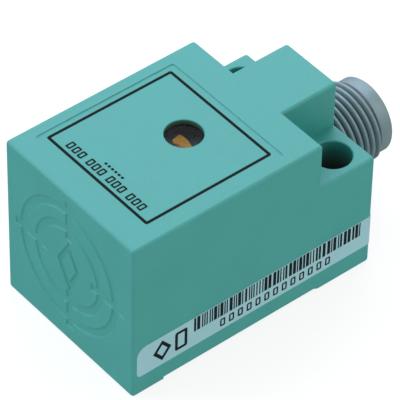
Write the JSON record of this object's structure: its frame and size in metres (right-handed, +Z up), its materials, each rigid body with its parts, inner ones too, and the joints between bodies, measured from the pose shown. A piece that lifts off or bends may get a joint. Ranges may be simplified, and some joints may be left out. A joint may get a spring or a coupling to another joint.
{
  "type": "proximity sensor",
  "caption": "Block-shaped proximity sensor with a square sensing face, two screw ears and a rear M12 plug connector.",
  "frame": {"origin": "midway between the two screw holes, on the mounting plane under the feet", "axes": "+Y from the sensing face towards the connector, +Z up from the mounting plane, +X across the body"},
  "size_m": [0.026, 0.0503, 0.026],
  "materials": {
    "housing": "satin moulded plastic, turquoise",
    "cover": "satin moulded plastic, darker turquoise",
    "lens": "smoke-tinted clear resin",
    "label": "printed film, pale grey-blue",
    "shell": "satin grey die-cast metal",
    "carrier": "black moulded plastic",
    "contact": "gold-plated brass",
    "sealant": "dark cast resin",
    "lead_brown": "brown wire insulation",
    "lead_white": "white wire insulation",
    "lead_blue": "blue wire insulation",
    "lead_black": "black wire insulation",
    "board": "green glass-epoxy board",
    "chip": "black moulded chip body",
    "tantalum": "ochre moulded capacitor body",
    "ceramic": "tan ceramic with tinned ends",
    "resistor": "black film resistor with tinned ends",
    "led": "amber lamp body",
    "holder": "natural moulded plastic",
    "ferrite": "sintered ferrite, matt dark grey",
    "bobbin": "natural moulded plastic",
    "copper": "enamelled copper wire"
  },
  "bodies": {
    "root": {"housing": "housing", "base_cover": "cover", "indicator_lens": "lens", "type_label": "label", "connector_shell": "shell", "contact_carrier": "carrier", "contact_pin_1": "contact", "contact_pin_2": "contact", "contact_pin_3": "contact", "contact_pin_4": "contact", "sealing_plug": "sealant", "brown_lead": "lead_brown", "white_lead": "lead_white", "blue_lead": "lead_blue", "black_lead": "lead_black", "circuit_board": "board", "sensor_chip": "chip", "output_transistor": "chip", "protection_diode": "chip", "smoothing_capacitor": "tantalum", "chip_capacitors": "ceramic", "chip_resistors": "resistor", "status_led": "led", "core_holder": "holder", "ferrite_core": "ferrite", "coil_bobbin": "bobbin", "coil_winding": "copper", "coil_leads": "copper"}
  },
  "joints": []
}
